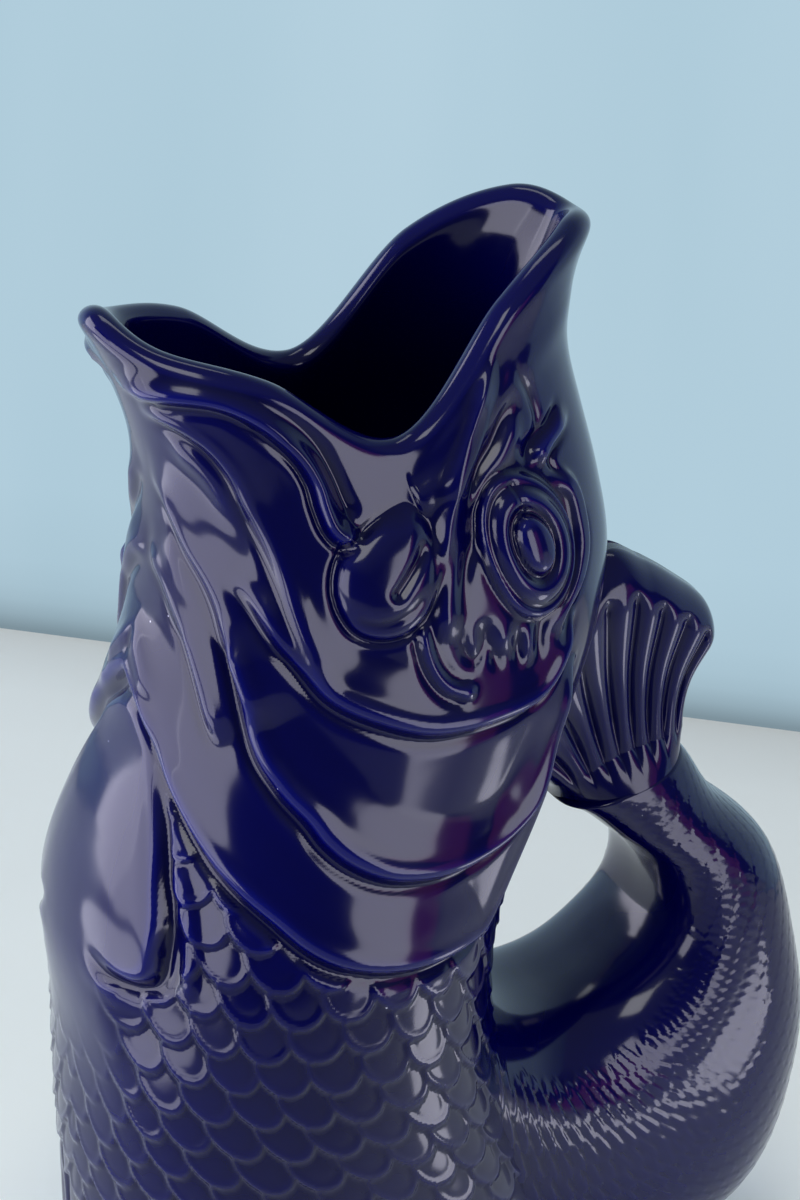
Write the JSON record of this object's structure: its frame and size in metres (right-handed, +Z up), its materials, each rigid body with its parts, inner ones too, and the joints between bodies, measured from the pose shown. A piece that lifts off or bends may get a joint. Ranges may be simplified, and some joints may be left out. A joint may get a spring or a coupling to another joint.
{
  "type": "gurgle jug",
  "caption": "Glazed stoneware jug shaped as a standing fish: open mouth with a pouring lip, hollow tail looped up behind as the handle.",
  "frame": {"origin": "centre of the foot ring, on the surface that the jug stands on", "axes": "+Z up, -X towards the pouring lip and the belly, +X towards the tail handle, -Y towards the fish's left side"},
  "size_m": [0.1744, 0.1044, 0.2542],
  "materials": {
    "glaze": "gloss cobalt glaze",
    "bare_clay": "unglazed, matt"
  },
  "bodies": {
    "root": {"body": "glaze", "foot_ring": "bare_clay", "tail": "glaze", "tail_fin": "glaze", "gill_cover_left": "glaze", "gill_cover_right": "glaze", "jaw_left": "glaze", "lip_roll_left": "glaze", "lip_roll_right": "glaze", "throat_fold_upper_left": "glaze", "throat_fold_upper_right": "glaze", "throat_fold_lower_left": "glaze", "throat_fold_lower_right": "glaze", "jaw_right": "glaze", "eye_left": "glaze", "eye_right": "glaze", "pectoral_fin_left": "glaze", "pectoral_fin_right": "glaze", "pelvic_fin_left": "glaze", "pelvic_fin_right": "glaze"}
  },
  "joints": []
}
